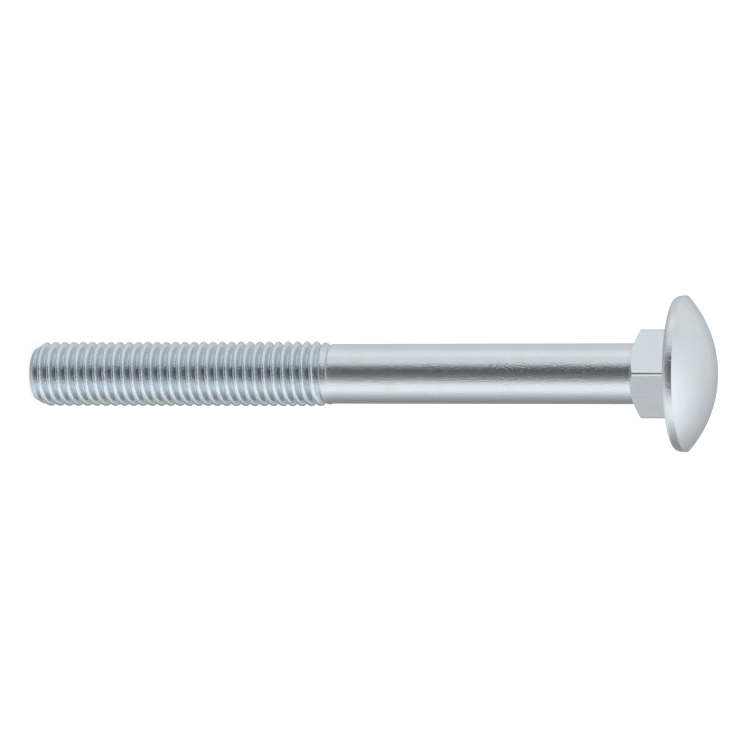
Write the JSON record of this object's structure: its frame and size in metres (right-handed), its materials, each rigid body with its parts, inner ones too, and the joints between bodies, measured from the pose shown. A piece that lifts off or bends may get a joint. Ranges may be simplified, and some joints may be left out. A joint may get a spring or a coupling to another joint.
{
  "type": "carriage bolt",
  "caption": "Metric carriage bolt in bright zinc-plated steel: low domed head, square neck, plain shank and a long rolled thread with a chamfered tip.",
  "frame": {"origin": "centre of the flat end of the thread, which the bolt stands on", "axes": "+Z along the bolt's axis, from the threaded tip up to the head. The square neck's corners point along X and Y"},
  "size_m": [0.0232, 0.0232, 0.1065],
  "materials": {
    "zinc_plated_steel": "bright zinc plating with a fine satin grain"
  },
  "bodies": {
    "root": {"carriage_bolt": "zinc_plated_steel"}
  },
  "joints": []
}
